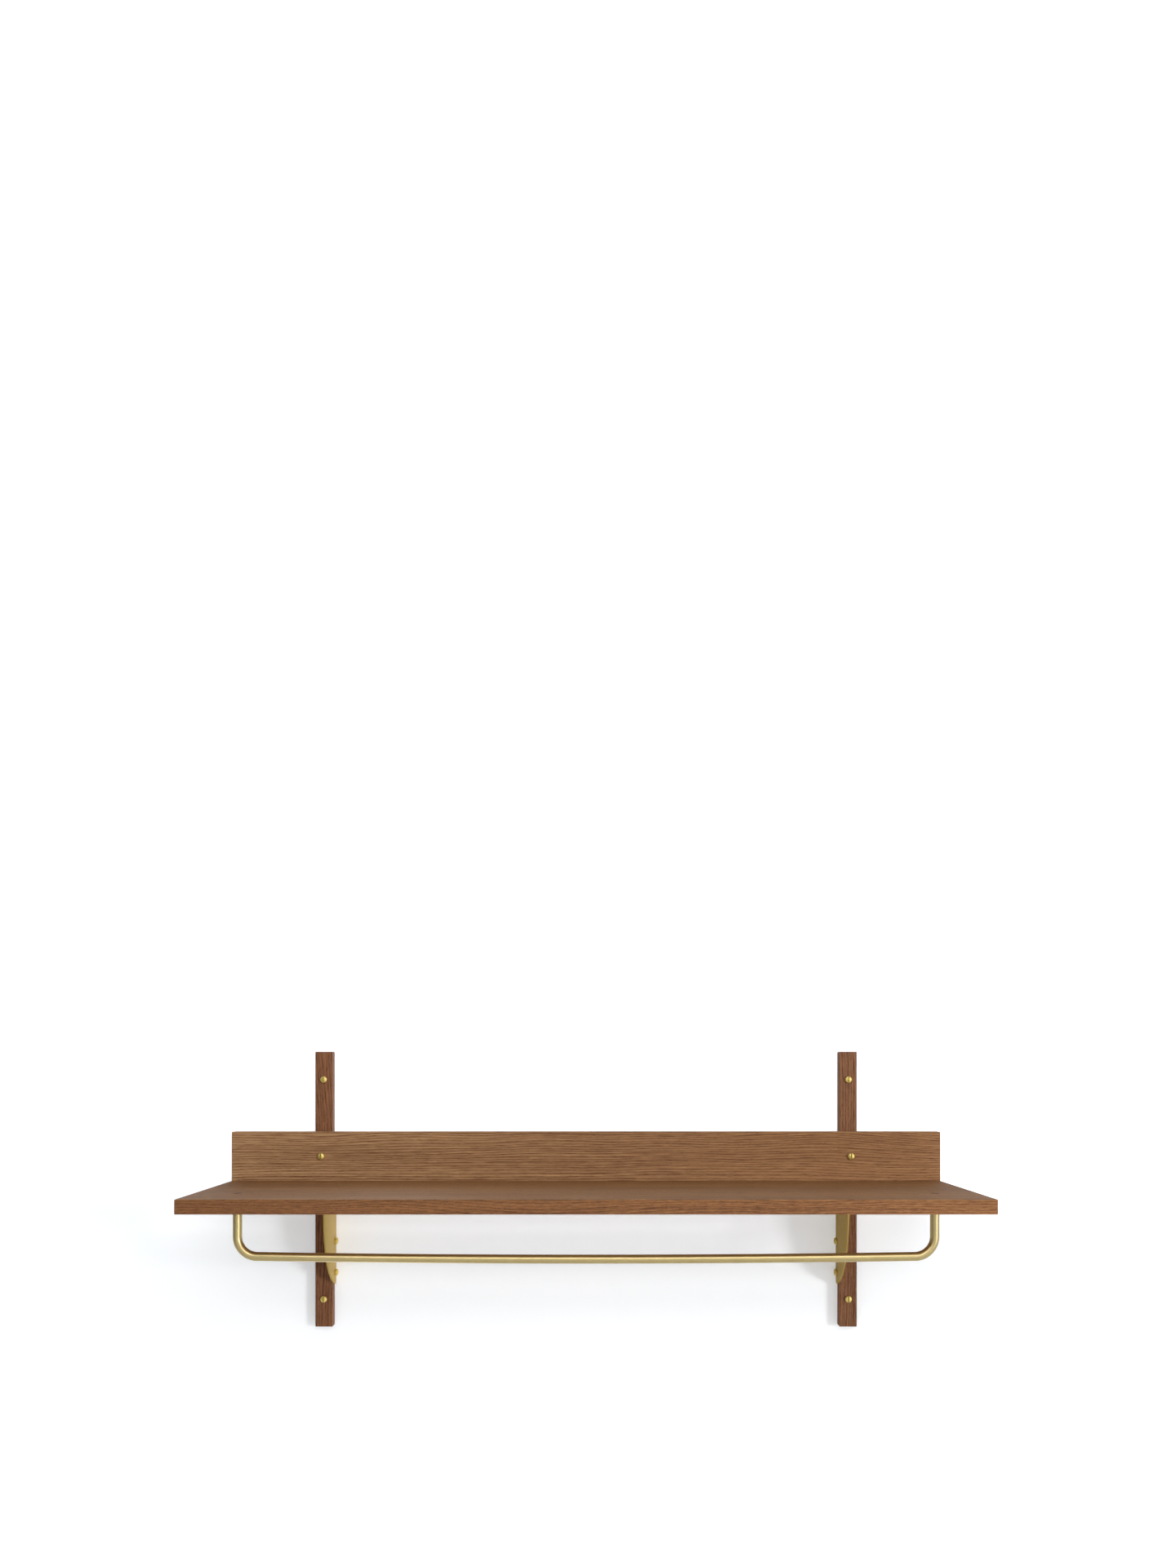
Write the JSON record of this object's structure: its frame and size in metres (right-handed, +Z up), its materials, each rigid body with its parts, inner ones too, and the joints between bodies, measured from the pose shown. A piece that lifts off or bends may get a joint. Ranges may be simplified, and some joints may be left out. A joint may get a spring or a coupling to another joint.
{
  "type": "wall shelf",
  "caption": "Wood wall shelf with a backboard on upright wall rails, curved brass plate brackets and a brass hanging rail under its board.",
  "frame": {"origin": "middle of the four wall screws, on the plane of the wall", "axes": "+X to the right along the shelf as seen from the front, +Y out of the back into the wall, +Z up; the front faces -Y"},
  "size_m": [0.87, 0.28, 0.341],
  "materials": {
    "shelf_wood": "oiled, satin, grain along the length",
    "back_wood": "oiled, satin, grain along the length",
    "rail_wood": "oiled, satin, grain along the height",
    "plug_wood": "oiled, sanded flush",
    "dowel_wood": "plain beech",
    "bracket_brass": "fine brushed, satin",
    "rod_brass": "satin, drawn along its length",
    "screw_brass": "turned, polished",
    "bolt_steel": "zinc plated"
  },
  "bodies": {
    "root": {"shelf_board": "shelf_wood", "backboard": "back_wood", "wall_rail_left": "rail_wood", "wall_rail_right": "rail_wood", "rod_plug_left": "plug_wood", "rod_plug_right": "plug_wood", "backboard_dowels": "dowel_wood", "bracket_left": "bracket_brass", "bracket_right": "bracket_brass", "hanging_rail": "rod_brass", "wall_screw_upper_left": "screw_brass", "wall_screw_upper_right": "screw_brass", "wall_screw_lower_left": "screw_brass", "wall_screw_lower_right": "screw_brass", "backboard_screw_left": "screw_brass", "backboard_screw_right": "screw_brass", "web_screw_upper_left": "screw_brass", "web_screw_upper_right": "screw_brass", "web_screw_lower_left": "screw_brass", "web_screw_lower_right": "screw_brass", "flange_screw_rear_left": "screw_brass", "flange_screw_rear_right": "screw_brass", "flange_screw_front_left": "screw_brass", "flange_screw_front_right": "screw_brass", "rod_bolt_left": "bolt_steel", "rod_bolt_right": "bolt_steel", "rod_washer_left": "bolt_steel", "rod_washer_right": "bolt_steel"}
  },
  "joints": []
}
